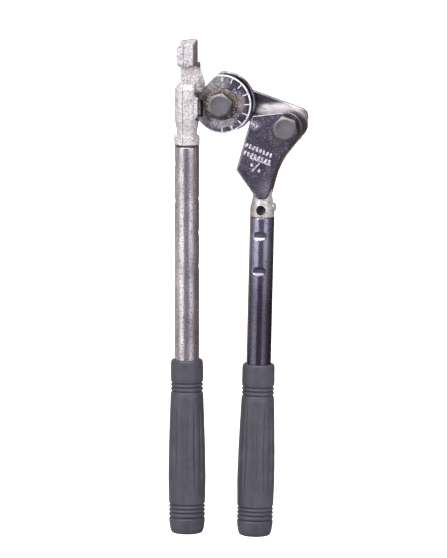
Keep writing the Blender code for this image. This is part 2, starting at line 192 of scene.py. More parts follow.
# Shoe, from its own pivot
SHOE_LEVELS = (-4.75, 5.5)
SHOE_HUB_R = 8.6
SHOE_TOP_LEFT = (-18.85, 6.0, 1.8)
SHOE_LOWER = (
    (-4.8, -19.8, 35.0),
    (-10.0, -38.7, 4.0),
    (-15.8, -38.7, 4.5),
    (-27.2, -22.9, 1.2),
)
SHOE_FACE_TURN = math.radians(-16.1)
SHOE_EDGE = 0.9
SHOE_DRAFT = 0.55  # how much smaller the forging is at its front
SHANK_PROFILE = (
    (0, -40.0, 0),
    (4.6, -40.0, 0),
    (4.9, -47.5, 0),
    (5.4, -50.2, 1.0),
    (6.3, -54.2, 3.0),
    (6.35, -58.6, 0.25),
    (4.8, -58.6, 0),
    (4.8, -62.0, 0),
    (0, -62.0, 0),
)
DIMPLE = (0.3, -54.8)
DIMPLE_R = 2.4
CROSS_PIN_Z = -53.6

# Bolts, washers and nuts
HEX_HALF_FLATS = 6.0
HEX_FACE_R = 5.2
HEX_SLOPE = 0.62  # fall of the turned-off corners, for every millimetre outwards
HEX_STEPS = 144
HEAD_HEIGHT = 5.3
BOLT_R = 4.0
BOLT_END = -16.85
THREAD_PITCH = 1.25
THREAD_DEPTH = 0.55
BEND_HEAD = 6.95  # the height where each bolt's head sits
SHOE_HEAD = 5.8
BEND_TURN = math.radians(-11)
SHOE_TURN = math.radians(12)
WASHER_R = 8.3
FRONT_WASHER = (5.05, 6.65)
BACK_WASHER = (-10.65, -9.45)
NUT = (-14.75, -10.95)
NUT_COLLAR_R = 5.8
NUT_COLLAR_END = -16.25
NUT_SEAT_R = 5.3

# -------- mesh tools


def rounded(corners, step=6):
    """A closed outline from (x, y, radius) corners, with an arc point every few degrees."""
    outline = []
    for i, (x, y, radius) in enumerate(corners):
        here = Vector((x, y))
        if not radius:
            outline.append(here)
            continue
        back = (Vector(corners[i - 1][:2]) - here).normalized()
        ahead = (Vector(corners[(i + 1) % len(corners)][:2]) - here).normalized()
        half = back.angle(ahead) / 2
        centre = here + (back + ahead).normalized() * radius / math.sin(half)
        start = here + back * radius / math.tan(half) - centre
        sweep = start.angle_signed(here + ahead * radius / math.tan(half) - centre)
        count = max(2, round(abs(math.degrees(sweep)) / step))
        outline += [centre + Matrix.Rotation(-sweep * k / count, 2) @ start for k in range(count + 1)]
    return outline


def arc(centre, radius, start, end, steps):
    """Points along a circle between two angles in degrees."""
    angles = np.radians(np.linspace(start, end, steps + 1))
    return [(centre[0] + radius * math.cos(a), centre[1] + radius * math.sin(a)) for a in angles]


def resampled(profile, step):
    """The same line with extra points, none further apart than step."""
    points = [profile[0]]
    for start, end in zip(profile, profile[1:]):
        count = max(1, math.ceil((Vector(end) - Vector(start)).length / step))
        points += [tuple(Vector(start).lerp(Vector(end), k / count)) for k in range(1, count + 1)]
    return points


def spin(degrees, axis="Z"):
    return Matrix.Rotation(math.radians(degrees), 4, axis)


def shift(x, y, z):
    """A move in millimetres."""
    return Matrix.Translation((x * MM, y * MM, z * MM))


def added(name, data):
    """A new object in the scene."""
    obj = bpy.data.objects.new(name, data)
    bpy.context.scene.collection.objects.link(obj)
    return obj


def welded(mesh, distance, outward=False):
    """Joins points that lie together, and may turn the faces outwards."""
    shape = bmesh.new()
    shape.from_mesh(mesh)
    bmesh.ops.remove_doubles(shape, verts=shape.verts, dist=distance)
    if outward:
        bmesh.ops.recalc_face_normals(shape, faces=shape.faces)
    shape.to_mesh(mesh)
    shape.free()
    return mesh


TIP = 0.0005  # a ring this small closes to a point


def from_points(name, points, faces):
    """An object from points in millimetres, with its faces turned outwards."""
    mesh = bpy.data.meshes.new(name)
    mesh.from_pydata((np.asarray(points, float) * MM).tolist(), [], faces)
    return added(name, welded(mesh, TIP * 4 * MM, outward=True))


def loft(name, rings, joined=False):
    """A skin over equally long rings, closed at its ends or joined up to a ring-shaped piece."""
    points = np.asarray(rings, float)
    count, around = points.shape[:2]
    faces = []
    for i in range(count if joined else count - 1):
        here = i * around
        there = (i + 1) % count * around
        for k in range(around):
            nxt = (k + 1) % around
            faces.append((here + k, here + nxt, there + nxt, there + k))
    if not joined:
        faces.append(tuple(range(around)))
        faces.append(tuple(range((count - 1) * around, count * around)))
    return from_points(name, points.reshape(-1, 3), faces)


def ring(radius, height, steps):
    """One turn of points about Z. The radius and the height may be one number or one a point."""
    angle = np.linspace(0, 2 * math.pi, steps, endpoint=False)
    return np.stack([radius * np.cos(angle), radius * np.sin(angle), height + 0 * angle], 1)


def turned(name, profile, steps=96, joined=False):
    """A profile of (radius, height) turned about Z, each as in ring(). It may touch the axis."""
    return loft(name, [ring(np.maximum(r, TIP), z, steps) for r, z in profile], joined)


def applied(obj):
    """Swaps the object's mesh for the one that its modifiers make."""
    depsgraph = bpy.context.evaluated_depsgraph_get()
    mesh = bpy.data.meshes.new_from_object(obj.evaluated_get(depsgraph))
    obj.modifiers.clear()
    obj.data = mesh
    return obj


def eased(obj, width, segments=3, angle=40):
    """Rounds the edges that are sharper than the angle."""
    bevel = obj.modifiers.new("ease", "BEVEL")
    bevel.width = width * MM
    bevel.segments = segments
    bevel.limit_method = "ANGLE"
    bevel.angle_limit = math.radians(angle)
    bevel.use_clamp_overlap = False
    return applied(obj)


def plate(name, outline, levels, edge=0.0):
    """A flat outline between two levels, with its edges rounded."""
    obj = loft(name, [[(x, y, z) for x, y in outline] for z in levels])
    return eased(obj, edge) if edge else obj


def block(name, low, high, edge=0.0):
    """A box between two corners."""
    (x0, y0, z0), (x1, y1, z1) = low, high
    return plate(name, ((x0, y0), (x1, y0), (x1, y1), (x0, y1)), (z0, z1), edge)


def lump(name, centre, radii):
    """A rounded blob."""
    angles = np.linspace(0, math.pi, 17)
    rings = [ring(max(math.sin(a), 0.01), math.cos(a), 32) for a in angles]
    return loft(name, np.asarray(rings) * np.asarray(radii) + np.asarray(centre))


def moved(obj, matrix):
    """Moves the mesh itself; the matrix is in metres."""
    obj.data.transform(matrix)
    return obj


def cut(obj, *cutters):
    """Takes the cutters' shapes away from the object."""
    for cutter in cutters:
        boolean = obj.modifiers.new("cut", "BOOLEAN")
        boolean.operation = "DIFFERENCE"
        boolean.object = cutter
        applied(obj)
        bpy.data.objects.remove(cutter)
    return obj


def gathered(name, objects):
    """One object that holds all the meshes."""
    shape = bmesh.new()
    for obj in objects:
        shape.from_mesh(obj.data)
        bpy.data.objects.remove(obj)
    mesh = bpy.data.meshes.new(name)
    shape.to_mesh(mesh)
    shape.free()
    return added(name, mesh)


def fused(name, objects, voxel, smoothing):
    """Melts overlapping solids into one skin with soft inner corners."""
    obj = gathered(name, objects)
    remesh = obj.modifiers.new("melt", "REMESH")
    remesh.mode = "VOXEL"
    remesh.voxel_size = voxel * MM
    smooth = obj.modifiers.new("smooth", "SMOOTH")
    smooth.factor = 0.5
    smooth.iterations = smoothing
    return applied(obj)


def reshaped(obj, change):
    """Passes the points, in millimetres, and their outward directions through a function."""
    mesh = obj.data
    count = len(mesh.vertices)
    points = np.empty(count * 3)
    normals = np.empty(count * 3)
    mesh.vertices.foreach_get("co", points)
    mesh.vertices.foreach_get("normal", normals)
    points = change(points.reshape(-1, 3) / MM, normals.reshape(-1, 3))
    mesh.vertices.foreach_set("co", (points * MM).ravel())
    mesh.update()
    return obj


def roughened(obj, depth, size, seed=0):
    """Gives a skin the uneven surface of a casting or of dirt."""

    def change(points, normals):
        places = (points / size + seed).tolist()
        heights = [noise.fractal(p, 1.0, 2.0, 4, noise_basis="PERLIN_ORIGINAL") for p in places]
        return points + normals * np.asarray(heights)[:, None] * depth

    return reshaped(obj, change)


def drawn_in(outline, distance):
    """The same clockwise outline with every side moved inwards."""
    points = [Vector(p) for p in outline]
    inner = []
    for i, here in enumerate(points):
        back = (here - points[i - 1]).normalized()
        ahead = (points[(i + 1) % len(points)] - here).normalized()
        along = (back + ahead).normalized()
        inner.append(here + Vector((along.y, -along.x)) * distance / max(0.4, along.dot(back)))
    return inner


def piece(obj, body, matrix, finish, slot, *stands_for, sharp=35, flat=False):
    """Puts a shape in its place on a body, with its finish. Flat faces may keep their own light."""
    obj.data.shade_smooth()
    if sharp:
        obj.data.set_sharp_from_angle(angle=math.radians(sharp))
    if flat:
        weighted = obj.modifiers.new("flat", "WEIGHTED_NORMAL")
        weighted.keep_sharp = True
        applied(obj)
    obj.data.materials.clear()
    obj.data.materials.append(finish)
    obj.matrix_world = matrix
    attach(obj, body)
    if stands_for:
        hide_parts(*stands_for)
    return obj


# -------- shader nodes


def feed(socket, value):
    """Links an output to the socket, or sets the socket's own value."""
    if isinstance(value, bpy.types.NodeSocket):
        socket.id_data.links.new(value, socket)
    elif socket.type == "RGBA":
        socket.default_value = (*value, 1.0)
    else:
        socket.default_value = value


def new_node(tree, kind, inputs=None, **settings):
    made = tree.nodes.new(kind)
    for key, value in settings.items():
        setattr(made, key, value)
    for key, value in (inputs or {}).items():
        feed(made.inputs[key], value)
    return made


def calculated(operation, first, second=0.0):
    values = {0: first, 1: second}
    return new_node(first.id_data, "ShaderNodeMath", values, operation=operation).outputs[0]


both = partial(calculated, "MULTIPLY")
either = partial(calculated, "MAXIMUM")
plus = partial(calculated, "ADD")
minus = partial(calculated, "SUBTRACT")


def remap(value, low, high, to_low=0.0, to_high=1.0):
    """Stretches what lies from low to high over the second pair, and stops there."""
    limits = {"From Min": low, "From Max": high, "To Min": to_low, "To Max": to_high}
    made = new_node(value.id_data, "ShaderNodeMapRange", {"Value": value, **limits}, clamp=True)
    return made.outputs["Result"]


def mix(factor, first, second):
    """The first colour at a factor of 0, the second at 1."""
    values = {0: factor, 6: first, 7: second}
    return new_node(factor.id_data, "ShaderNodeMix", values, data_type="RGBA").outputs[2]


def layered(colour, *layers):
    """Lays colours over one another, each as far as its factor says."""
    for factor, over in layers:
        colour = mix(factor, colour, over)
    return colour


# -------- finishes


class Finish:
    """A procedural material. Its methods add patterns and hand back their outputs."""

    def __init__(self, name, metallic=0.0):
        self.material = bpy.data.materials.new(name)
        self.material.use_nodes = True
        self.tree = self.material.node_tree
        self.shader = self.tree.nodes["Principled BSDF"]
        self.place = self.node("ShaderNodeTexCoord").outputs["Object"]
        self.set("Metallic", metallic)

    def set(self, name, value):
        feed(self.shader.inputs[name], value)

    def node(self, kind, inputs=None, **settings):
        return new_node(self.tree, kind, inputs, **settings)

    def vector(self, operation, first, second=(0, 0, 0)):
        return self.node("ShaderNodeVectorMath", {0: first, 1: second}, operation=operation).outputs

    def noise(self, size, detail=4.0, stretch=(1, 1, 1), rough=0.55):
        """Soft noise of about the given grain in millimetres, 0 to 1."""
        settings = {
            "Vector": self.vector("MULTIPLY", self.place, stretch)[0],
            "Scale": 1 / (size * MM),
            "Detail": detail,
            "Roughness": rough,
        }
        return self.node("ShaderNodeTexNoise", settings).outputs["Fac"]

    def cells(self, size):
        """Distance to the nearest of points scattered about that far apart."""
        settings = {"Vector": self.place, "Scale": 1 / (size * MM)}
        return self.node("ShaderNodeTexVoronoi", settings).outputs["Distance"]

    def axis(self, letter):
        """One coordinate in millimetres."""
        return both(self.node("ShaderNodeSeparateXYZ", {0: self.place}).outputs[letter], 1 / MM)

    def near(self, centre, inner, outer, flatten=(1, 1, 1)):
        """1 within the inner distance of a point, 0 beyond the outer one."""
        offset = self.vector("SUBTRACT", self.place, tuple(c * MM for c in centre))[0]
        length = self.vector("LENGTH", self.vector("MULTIPLY", offset, flatten)[0])["Value"]
        return remap(length, inner * MM, outer * MM, 1.0, 0.0)

    def crevices(self, reach):
        """1 in corners and under neighbours, 0 in the open; taken from ambient occlusion, so it marks
        where shade falls, for painted shade.
        """
        shade = self.node("ShaderNodeAmbientOcclusion", {"Distance": reach * MM}, samples=6)
        return remap(shade.outputs["AO"], 0.35, 0.85, 1.0, 0.0)

    def bump(self, height, depth, strength=1.0, normal=None):
        """A bump whose height of 0 to 1 spans the depth in millimetres."""
        inputs = {"Strength": strength, "Distance": depth * MM, "Height": height}
        if normal:
            inputs["Normal"] = normal
        return self.node("ShaderNodeBump", inputs).outputs["Normal"]

    def surface(self, colour, rough, normal=None, metallic=None):
        """Connects the shader and hands back the material."""
        values = {"Base Color": colour, "Roughness": rough, "Normal": normal, "Metallic": metallic}
        for name, value in values.items():
            if value is not None:
                self.set(name, value)
        return self.material


RUST = (0.17, 0.065, 0.03)
GRIME = (0.035, 0.028, 0.025)


LOW_TONE_FROM = (-98.0, -66.0)  # heights where a tube's low tone is full and where it ends
LOW_TONE_RAGGED = 16.0  # how far its end wanders


def pitting(finish, spacing, size, share):
    """Scattered pits: 1 in a pit. The share is how many of the spots are open."""
    spot = remap(finish.cells(spacing), size * 0.5, size, 1.0, 0.0)
    open_spots = remap(finish.noise(spacing * 3.1, 2.0), 0.62 - share, 0.66 - share)
    return both(spot, open_spots)


def plated(
    name, bright, dull, gloss, satin, metallic, pits=0.3, scratch=(1, 1, 0.03), stain=0.15,
    shaded_dimple=False, low_tone=None,
):
    """Worn chrome: clouded, scratched and pitted.

    A shaded dimple has the inside of the shank's dimple painted black, as painted shade. A low tone
    is a tube's colour near its grip.
    """
    finish = Finish(name, metallic=metallic)
    cloud = remap(finish.noise(7.0, 6.0, (1, 1, 0.35), rough=0.65), 0.38, 0.64)
    scratches = finish.noise(0.3, 3.0, scratch)
    marked = remap(scratches, 0.52, 0.7)
    pit = pitting(finish, 1.1, 0.34, pits)
    speck = remap(finish.noise(0.5, 5.0, (1, 1, 0.6), rough=0.7), 0.6, 0.72)
    stained = both(remap(finish.noise(4.0, 6.0, (1, 1, 0.3)), 0.52, 0.72), stain)
    colour = mix(cloud, bright, dull)
    if low_tone:
        height = plus(finish.axis("Z"), both(cloud, LOW_TONE_RAGGED))
        colour = mix(remap(height, *LOW_TONE_FROM, 1.0, 0.0), colour, low_tone)
    spots = (both(speck, 0.5), GRIME), (stained, RUST), (both(pit, 0.85), GRIME)
    colour = layered(colour, *spots)
    if shaded_dimple:
        # Painted shade: the inside of the dimple is painted black and not metallic.
        x, height = DIMPLE
        dimple_shade = finish.near((x, 0, height), DIMPLE_R, DIMPLE_R * 1.08, (1, 0, 1))
        dimple_shade = both(dimple_shade, remap(finish.axis("Y"), -1.0, 0.0, 1.0, 0.0))
        colour = mix(dimple_shade, colour, (0.012, 0.01, 0.01))
        finish.set("Metallic", remap(dimple_shade, 0.0, 1.0, metallic, 0.0))
    rough = plus(remap(cloud, 0.0, 1.0, gloss, satin), both(marked, 0.2))
    rough = plus(rough, both(either(pit, speck), 0.3))
    wave = finish.bump(finish.noise(3.5, 3.0, (1, 1, 0.25)), 0.12, 0.6)
    relief = minus(both(scratches, 0.3), either(pit, both(speck, 0.4)))
    return finish.surface(colour, rough, finish.bump(relief, 0.035, 0.6, wave))


def casting_finish():
    """Bright nickel over a rough casting, with rust where it meets its neighbours, deepened by
    painted shade in corners and under the hook, painted shade on the hook's top and a painted brown
    reflection on its right wall.
    """
    finish = Finish("rough_nickel", metallic=0.6)
    grain = finish.noise(1.0, 6.0, rough=0.7)
    speck = remap(finish.noise(0.55, 5.0, rough=0.7), 0.6, 0.68)
    pit = either(pitting(finish, 1.3, 0.3, 0.3), speck)
    height = finish.axis("Y")
    # Rust under the hook, with painted shade: the band below its underside is darkened where shade
    # falls.
    rust_and_shade_under_hook = calculated("ABSOLUTE", minus(height, HOOK_UNDERSIDE + 0.1))
    rust_and_shade_under_hook = remap(rust_and_shade_under_hook, 0.6, 2.4, 1.0, 0.0)
    foot = remap(height, -22.2, -21.7, 1.0, 0.0)
    seam = calculated("ABSOLUTE", minus(finish.axis("X"), FIXED_AXIS_X - PARTING_X))
    seam = both(remap(seam, 0.1, 0.34, 1.0, 0.0), remap(finish.axis("Z"), 0.5, 1.5))
    seam = both(seam, remap(finish.noise(1.3, 3.0), 0.3, 0.5))
    # Painted shade: ambient occlusion darkens the corners in the rust colour, so this is rust and
    # painted shade together.
    crevice_rust_and_shade = finish.crevices(2.2)
    patchy = remap(finish.noise(1.4, 5.0, rough=0.65), 0.38, 0.58)
    rust_and_painted_shade = both(either(both(rust_and_shade_under_hook, 0.8), both(crevice_rust_and_shade, 0.85)), patchy)
    rust_and_painted_shade = either(rust_and_painted_shade, both(foot, 0.9))
    colour = mix(remap(grain, 0.38, 0.62), (0.84, 0.815, 0.825), (0.56, 0.53, 0.54))
    # Painted shade: the hook's top is painted a darker grey.
    slope = both(minus(finish.axis("X"), HOOK_LEFT), HOOK_TOP_SLOPE)
    roof = remap(minus(height, slope), HOOK_TOP - 0.5, HOOK_TOP + 0.1)
    # Painted reflection: the hook's right wall is painted dark brown.
    hook_wall_reflection = remap(finish.axis("X"), HOOK_RIGHT - 0.7, HOOK_RIGHT - 0.3)
    hook_wall_reflection = both(hook_wall_reflection, remap(height, 16.0, 18.0))
    cloud = remap(finish.noise(3.2, 6.0, rough=0.7), 0.5, 0.66)
    colour = layered(
        colour,
        (roof, (0.2, 0.18, 0.185)),
        (both(hook_wall_reflection, 0.8), (0.12, 0.085, 0.085)),
        (both(cloud, 0.55), (0.2, 0.18, 0.18)),
        (both(either(pit, seam), 0.85), (0.05, 0.04, 0.038)),
        (rust_and_painted_shade, (0.085, 0.04, 0.026)),
    )
    rough = plus(remap(grain, 0.3, 0.7, 0.36, 0.55), both(rust_and_painted_shade, 0.3))
    relief = minus(both(grain, 0.9), either(pit, seam))
    return finish.surface(colour, rough, finish.bump(relief, 0.16, 0.7))


def wheel_finish():
    """Polished face with a painted highlight on its rim, worn and stained in places, burnt beside the
    casting.
    """
    finish = Finish("wheel_chrome", metallic=1.0)
    ragged = finish.noise(1.2, 6.0, rough=0.65)
    cloud = remap(finish.noise(4.5, 5.0), 0.36, 0.66)
    speck = remap(finish.noise(0.6, 4.0, rough=0.65), 0.64, 0.72)
    worn = finish.near((-4.5, 11.5, 4.7), 4.0, 8.5, (0.85, 1, 0.6))
    worn = both(worn, remap(ragged, 0.34, 0.52))
    worn_low = finish.near((0.5, -9.3, 4.7), 2.0, 4.6, (0.5, 1, 1))
    worn_low = both(worn_low, remap(ragged, 0.42, 0.56))
    stain = finish.near((9.3, 0.8, 4.7), 1.6, 3.6, (1, 0.5, 1))
    stain = both(stain, remap(ragged, 0.36, 0.55))
    burnt = finish.near((-9.6, -1.0, 4.7), 3.0, 6.2, (1, 0.55, 0.5))
    burnt = both(burnt, remap(finish.noise(1.3, 5.0), 0.26, 0.5))
    bare = mix(remap(ragged, 0.5, 0.6), (0.17, 0.165, 0.16), (0.42, 0.41, 0.4))
    face_r = WHEEL_FRONT_R - WHEEL_CHAMFER
    face = finish.near((0, 0, WHEEL_HALF), face_r - 0.05, face_r + 0.05)
    # Painted highlight: the rim's chamfer is painted near white, strongest on the right.
    rim = both(remap(face, 0.0, 1.0, 1.0, 0.0), remap(finish.axis("Z"), 4.1, 4.3))
    rim = both(rim, remap(finish.axis("X"), -7.0, 4.0, 0.25, 1.0))
    rim = both(rim, remap(ragged, 0.3, 0.5))
    colour = layered(
        mix(cloud, (0.5, 0.48, 0.57), (0.13, 0.12, 0.155)),
        (both(speck, 0.6), (0.7, 0.7, 0.74)),
        (worn, bare),
        (worn_low, (0.46, 0.43, 0.42)),
        (stain, (0.3, 0.25, 0.22)),
        (burnt, (0.05, 0.033, 0.028)),
        (rim, (0.85, 0.84, 0.9)),
    )
    dull = either(either(either(worn, worn_low), either(stain, burnt)), rim)
    rough = plus(remap(cloud, 0.0, 1.0, 0.12, 0.24), both(either(dull, speck), 0.36))
    relief = either(both(dull, ragged), both(speck, 0.4))
    wave = finish.bump(finish.noise(3.2, 3.0), 0.2, 0.6)
    normal = finish.bump(relief, 0.12, 0.7, wave)
    return finish.surface(colour, rough, normal, remap(dull, 0.0, 1.0, 1.0, 0.6))


def shoe_finish():
    """Dark polished face with speckled wear, and sides painted browner as a painted reflection."""
    finish = Finish("shoe_chrome", metallic=1.0)
    cloud = remap(finish.noise(6.5, 6.0, rough=0.6), 0.36, 0.64)
    fine = finish.noise(0.55, 5.0, rough=0.7)
    patch = remap(finish.noise(5.0, 3.0), 0.42, 0.6)
    fleck = both(remap(fine, 0.54, 0.64), patch)
    scuff = both(finish.near((-16.6, 0.8, 5.5), 1.2, 3.4), remap(fine, 0.44, 0.56))
    rubbed = finish.near((-10.5, -32.5, 5.5), 2.0, 7.0, (1.1, 0.7, 1))
    rubbed = both(rubbed, remap(fine, 0.46, 0.62))
    scratches = finish.noise(0.3, 3.0, (1, 0.12, 1))
    marked = either(both(fleck, 0.7), either(scuff, both(rubbed, 0.6)))
    marked = either(marked, both(remap(scratches, 0.68, 0.74), 0.4))
    # Painted reflection: the sides below the front face are painted browner.
    front = remap(finish.axis("Z"), 4.2, 4.9)
    colour = mix(cloud, (0.45, 0.42, 0.53), (0.15, 0.14, 0.185))
    colour = mix(front, (0.52, 0.46, 0.44), colour)
    colour = mix(marked, colour, (0.66, 0.66, 0.72))
    rough = plus(remap(cloud, 0.0, 1.0, 0.14, 0.26), both(marked, 0.4))
    relief = plus(both(marked, 0.8), both(scratches, 0.3))
    wave = finish.bump(finish.noise(3.6, 3.0), 0.2, 0.6)
    return finish.surface(colour, rough, finish.bump(relief, 0.05, 0.6, wave))


def link_finish():
    """Plated plate, rubbed bright in an arc where the shoe sweeps over it."""
    finish = Finish("link_chrome", metallic=1.0)
    cloud = remap(finish.noise(3.5, 5.0, (0.5, 1, 1)), 0.36, 0.64)
    ahead = finish.near((LINK_LENGTH, 0, -5.95), 17.0, 20.0)
    lean = minus(finish.axis("Y"), both(finish.axis("X"), 0.46))
    beyond = remap(lean, -4.6, -2.6, 1.0, 0.0)
    ragged = remap(finish.noise(2.0, 6.0, (0.4, 1, 1)), 0.28, 0.5, 0.45, 1.0)
    rubbed = both(both(ahead, beyond), ragged)
    end = remap(finish.axis("X"), LINK_LENGTH + 1.0, LINK_LENGTH + 7.0, 1.0, 0.15)
    rubbed = both(rubbed, end)
    top = remap(finish.axis("Z"), -6.5, -6.1)
    rubbed = both(rubbed, top)
    colour = mix(cloud, (0.44, 0.43, 0.52), (0.22, 0.21, 0.26))
    # Painted reflection: the plate's sides below its top face are painted browner.
    colour = mix(top, (0.42, 0.38, 0.34), colour)
    colour = mix(rubbed, colour, (0.62, 0.6, 0.62))
    wave = finish.bump(finish.noise(3.0, 3.0), 0.12, 0.6)
    normal = finish.bump(finish.noise(0.4, 3.0, (0.1, 1, 1)), 0.03, 0.5, wave)
    rough = remap(rubbed, 0.0, 1.0, 0.18, 0.42)
    return finish.surface(colour, rough, normal, remap(rubbed, 0.0, 1.0, 1.0, 0.35))


def bolt_finish():
    """Dull steel, browned where the corners are turned off, and darker brown towards the bottom."""
    finish = Finish("bolt_steel", metallic=1.0)
    grain = finish.noise(0.5, 5.0)
    cloud = finish.noise(4.0, 5.0)
    turned_off = remap(finish.axis("Z"), -0.3, -0.12)
    below = remap(finish.axis("Z"), -2.6, -1.6)
    brown = mix(remap(cloud, 0.35, 0.65), (0.34, 0.31, 0.3), (0.2, 0.17, 0.155))
    brown = mix(below, (0.16, 0.115, 0.09), brown)
    grey = mix(remap(cloud, 0.35, 0.65), (0.31, 0.3, 0.33), (0.24, 0.232, 0.255))
    centre = finish.near((0, 0, 0), 0.4, 3.6)
    grey = mix(both(centre, 0.5), grey, (0.38, 0.37, 0.39))
    colour = mix(turned_off, brown, grey)
    rough = remap(grain, 0.3, 0.7, 0.4, 0.56)
    return finish.surface(colour, rough, finish.bump(grain, 0.04, 0.6))


def washer_finish():
    """Steel gone brown, with bright specks where the plating holds, and a painted shadow of the bolt
    head on its lower side.
    """
    finish = Finish("washer_rust")
    blotch = finish.noise(1.8, 6.0, rough=0.7)
    # Painted shadow: the washer is darker towards its lower side, as the bolt head's shadow.
    clear_of_painted_shadow = remap(finish.axis("Y"), -1.0, 4.5)
    bright = remap(finish.noise(0.7, 5.0, rough=0.65), 0.54, 0.64)
    brown = mix(clear_of_painted_shadow, (0.025, 0.017, 0.015), (0.17, 0.125, 0.11))
    colour = mix(remap(blotch, 0.4, 0.6), brown, (0.05, 0.032, 0.025))
    colour = mix(both(bright, 0.85), colour, (0.8, 0.76, 0.72))
    rough = remap(bright, 0.0, 1.0, 0.6, 0.34)
    normal = finish.bump(blotch, 0.16, 0.8)
    return finish.surface(colour, rough, normal, remap(bright, 0.0, 1.0, 0.3, 0.9))


def braze_finish():
    """Dark brown filler with scale, plated over towards its upper end."""
    finish = Finish("braze")
    blotch = finish.noise(0.9, 6.0, rough=0.7)
    colour = mix(remap(blotch, 0.42, 0.62), (0.025, 0.018, 0.016), (0.12, 0.09, 0.08))
    plated_over = remap(finish.axis("Y"), 5.5, 8.5)
    pale = mix(remap(blotch, 0.42, 0.58), (0.2, 0.17, 0.165), (0.5, 0.46, 0.455))
    colour = mix(plated_over, colour, pale)
    normal = finish.bump(blotch, 0.18, 0.8)
    return finish.surface(colour, 0.5, normal, remap(blotch, 0.48, 0.62, 0.15, 0.85))


def mark_finish(name, share):
    """Raised marks, bright where the noise is below about the share, and dull above it."""
    finish = Finish(name, metallic=0.35)
    wear = remap(finish.noise(0.8, 5.0, rough=0.6), share - 0.1, share + 0.08)
    colour = mix(wear, (0.72, 0.7, 0.76), (0.2, 0.19, 0.235))
    return finish.surface(colour, 0.42, finish.bump(wear, 0.05, 0.6))


def rubber_finish():
    """Moulded rubber, satin and faintly clouded, with paler rubbed patches."""
    finish = Finish("grip_rubber")
    grain = finish.noise(0.25, 4.0)
    cloud = remap(finish.noise(11.0, 5.0), 0.35, 0.65)
    rubbed = remap(finish.noise(2.5, 5.0, (1, 1, 0.4)), 0.58, 0.72)
    colour = mix(cloud, (0.034, 0.033, 0.044), (0.048, 0.047, 0.06))
    colour = mix(both(rubbed, 0.5), colour, (0.07, 0.069, 0.085))
    rough = remap(cloud, 0.0, 1.0, 0.38, 0.46)
    return finish.surface(colour, rough, finish.bump(grain, 0.025, 0.35))


def nylon_finish():
    finish = Finish("lock_nylon")
    cloud = finish.noise(1.5, 3.0)
    return finish.surface(mix(cloud, (0.07, 0.13, 0.4), (0.1, 0.17, 0.46)), 0.45)


CASTING = casting_finish()
LEFT_CHROME = plated(
    "worn_chrome", (0.74, 0.715, 0.735), (0.4, 0.38, 0.4), 0.14, 0.28, 0.92, stain=0.3
)
RIGHT_CHROME = plated(
    "dark_chrome", (0.44, 0.43, 0.55), (0.24, 0.23, 0.3), 0.12, 0.24, 0.97, pits=0.24,
    low_tone=(0.13, 0.125, 0.165),
)
SHANK_CHROME = plated(
    "shank_chrome", (0.64, 0.62, 0.625), (0.3, 0.28, 0.28), 0.26, 0.42, 0.6, pits=0.4,
    scratch=(1, 1, 1), stain=0.6, shaded_dimple=True,
)
WHEEL = wheel_finish()
SHOE_CHROME = shoe_finish()
LINK_CHROME = link_finish()
BOLT_STEEL = bolt_finish()
WASHER_RUST_AND_SHADOW = washer_finish()
BRAZE = braze_finish()
MARKS = mark_finish("worn_marks", 0.56)
STUDS = mark_finish("worn_studs", 0.5)
FIGURES = mark_finish("worn_figures", 0.44)
RUBBER = rubber_finish()
NYLON = nylon_finish()

# -------- fixed handle


def make_casting():
    """Barrel, collar, neck, hook, web and lug, melted into one rough casting."""
    upright = shift(FIXED_AXIS_X, 0, 0) @ spin(-90, "X")
    profile = [tuple(p) for p in rounded(CASTING_PROFILE, 12)]
    barrel = moved(turned("barrel", profile, 72), upright)
    neck = block("neck", *NECK, 0.5)
    hook = plate("hook", rounded(HOOK_OUTLINE), (HOOK_BACK, HOOK_FRONT))

    def roof(points, normals):
        """The top falls towards the front."""
        share = np.clip((points[:, 1] - 25.0) / 5.0, 0, 1)
        points[:, 1] -= share * (points[:, 2] - HOOK_BACK) * math.tan(HOOK_ROOF_SLOPE)
        return points

    reshaped(hook, roof)
    web = plate("web", rounded(WEB_OUTLINE), WEB_LEVELS)
    lug = cut(block("lug", *LUG), block("pocket", *POCKET))
    casting = fused("handle_casting_skin", [barrel, neck, hook, web, lug], 0.26, 3)

    def parting(points, normals):
        """A thin ridge along the mould's joint, front and back."""
        offset = points[:, 0] - FIXED_AXIS_X + PARTING_X
        height = 0.16 * np.exp(-((offset / 0.22) ** 2)) * np.abs(normals[:, 2])
        return points + normals * height[:, None]

    reshaped(casting, parting)
    roughened(casting, 0.1, 1.5, seed=3)
    piece(casting, "fixed_handle", TOOL, CASTING, "rough_nickel", "handle_casting", sharp=0)


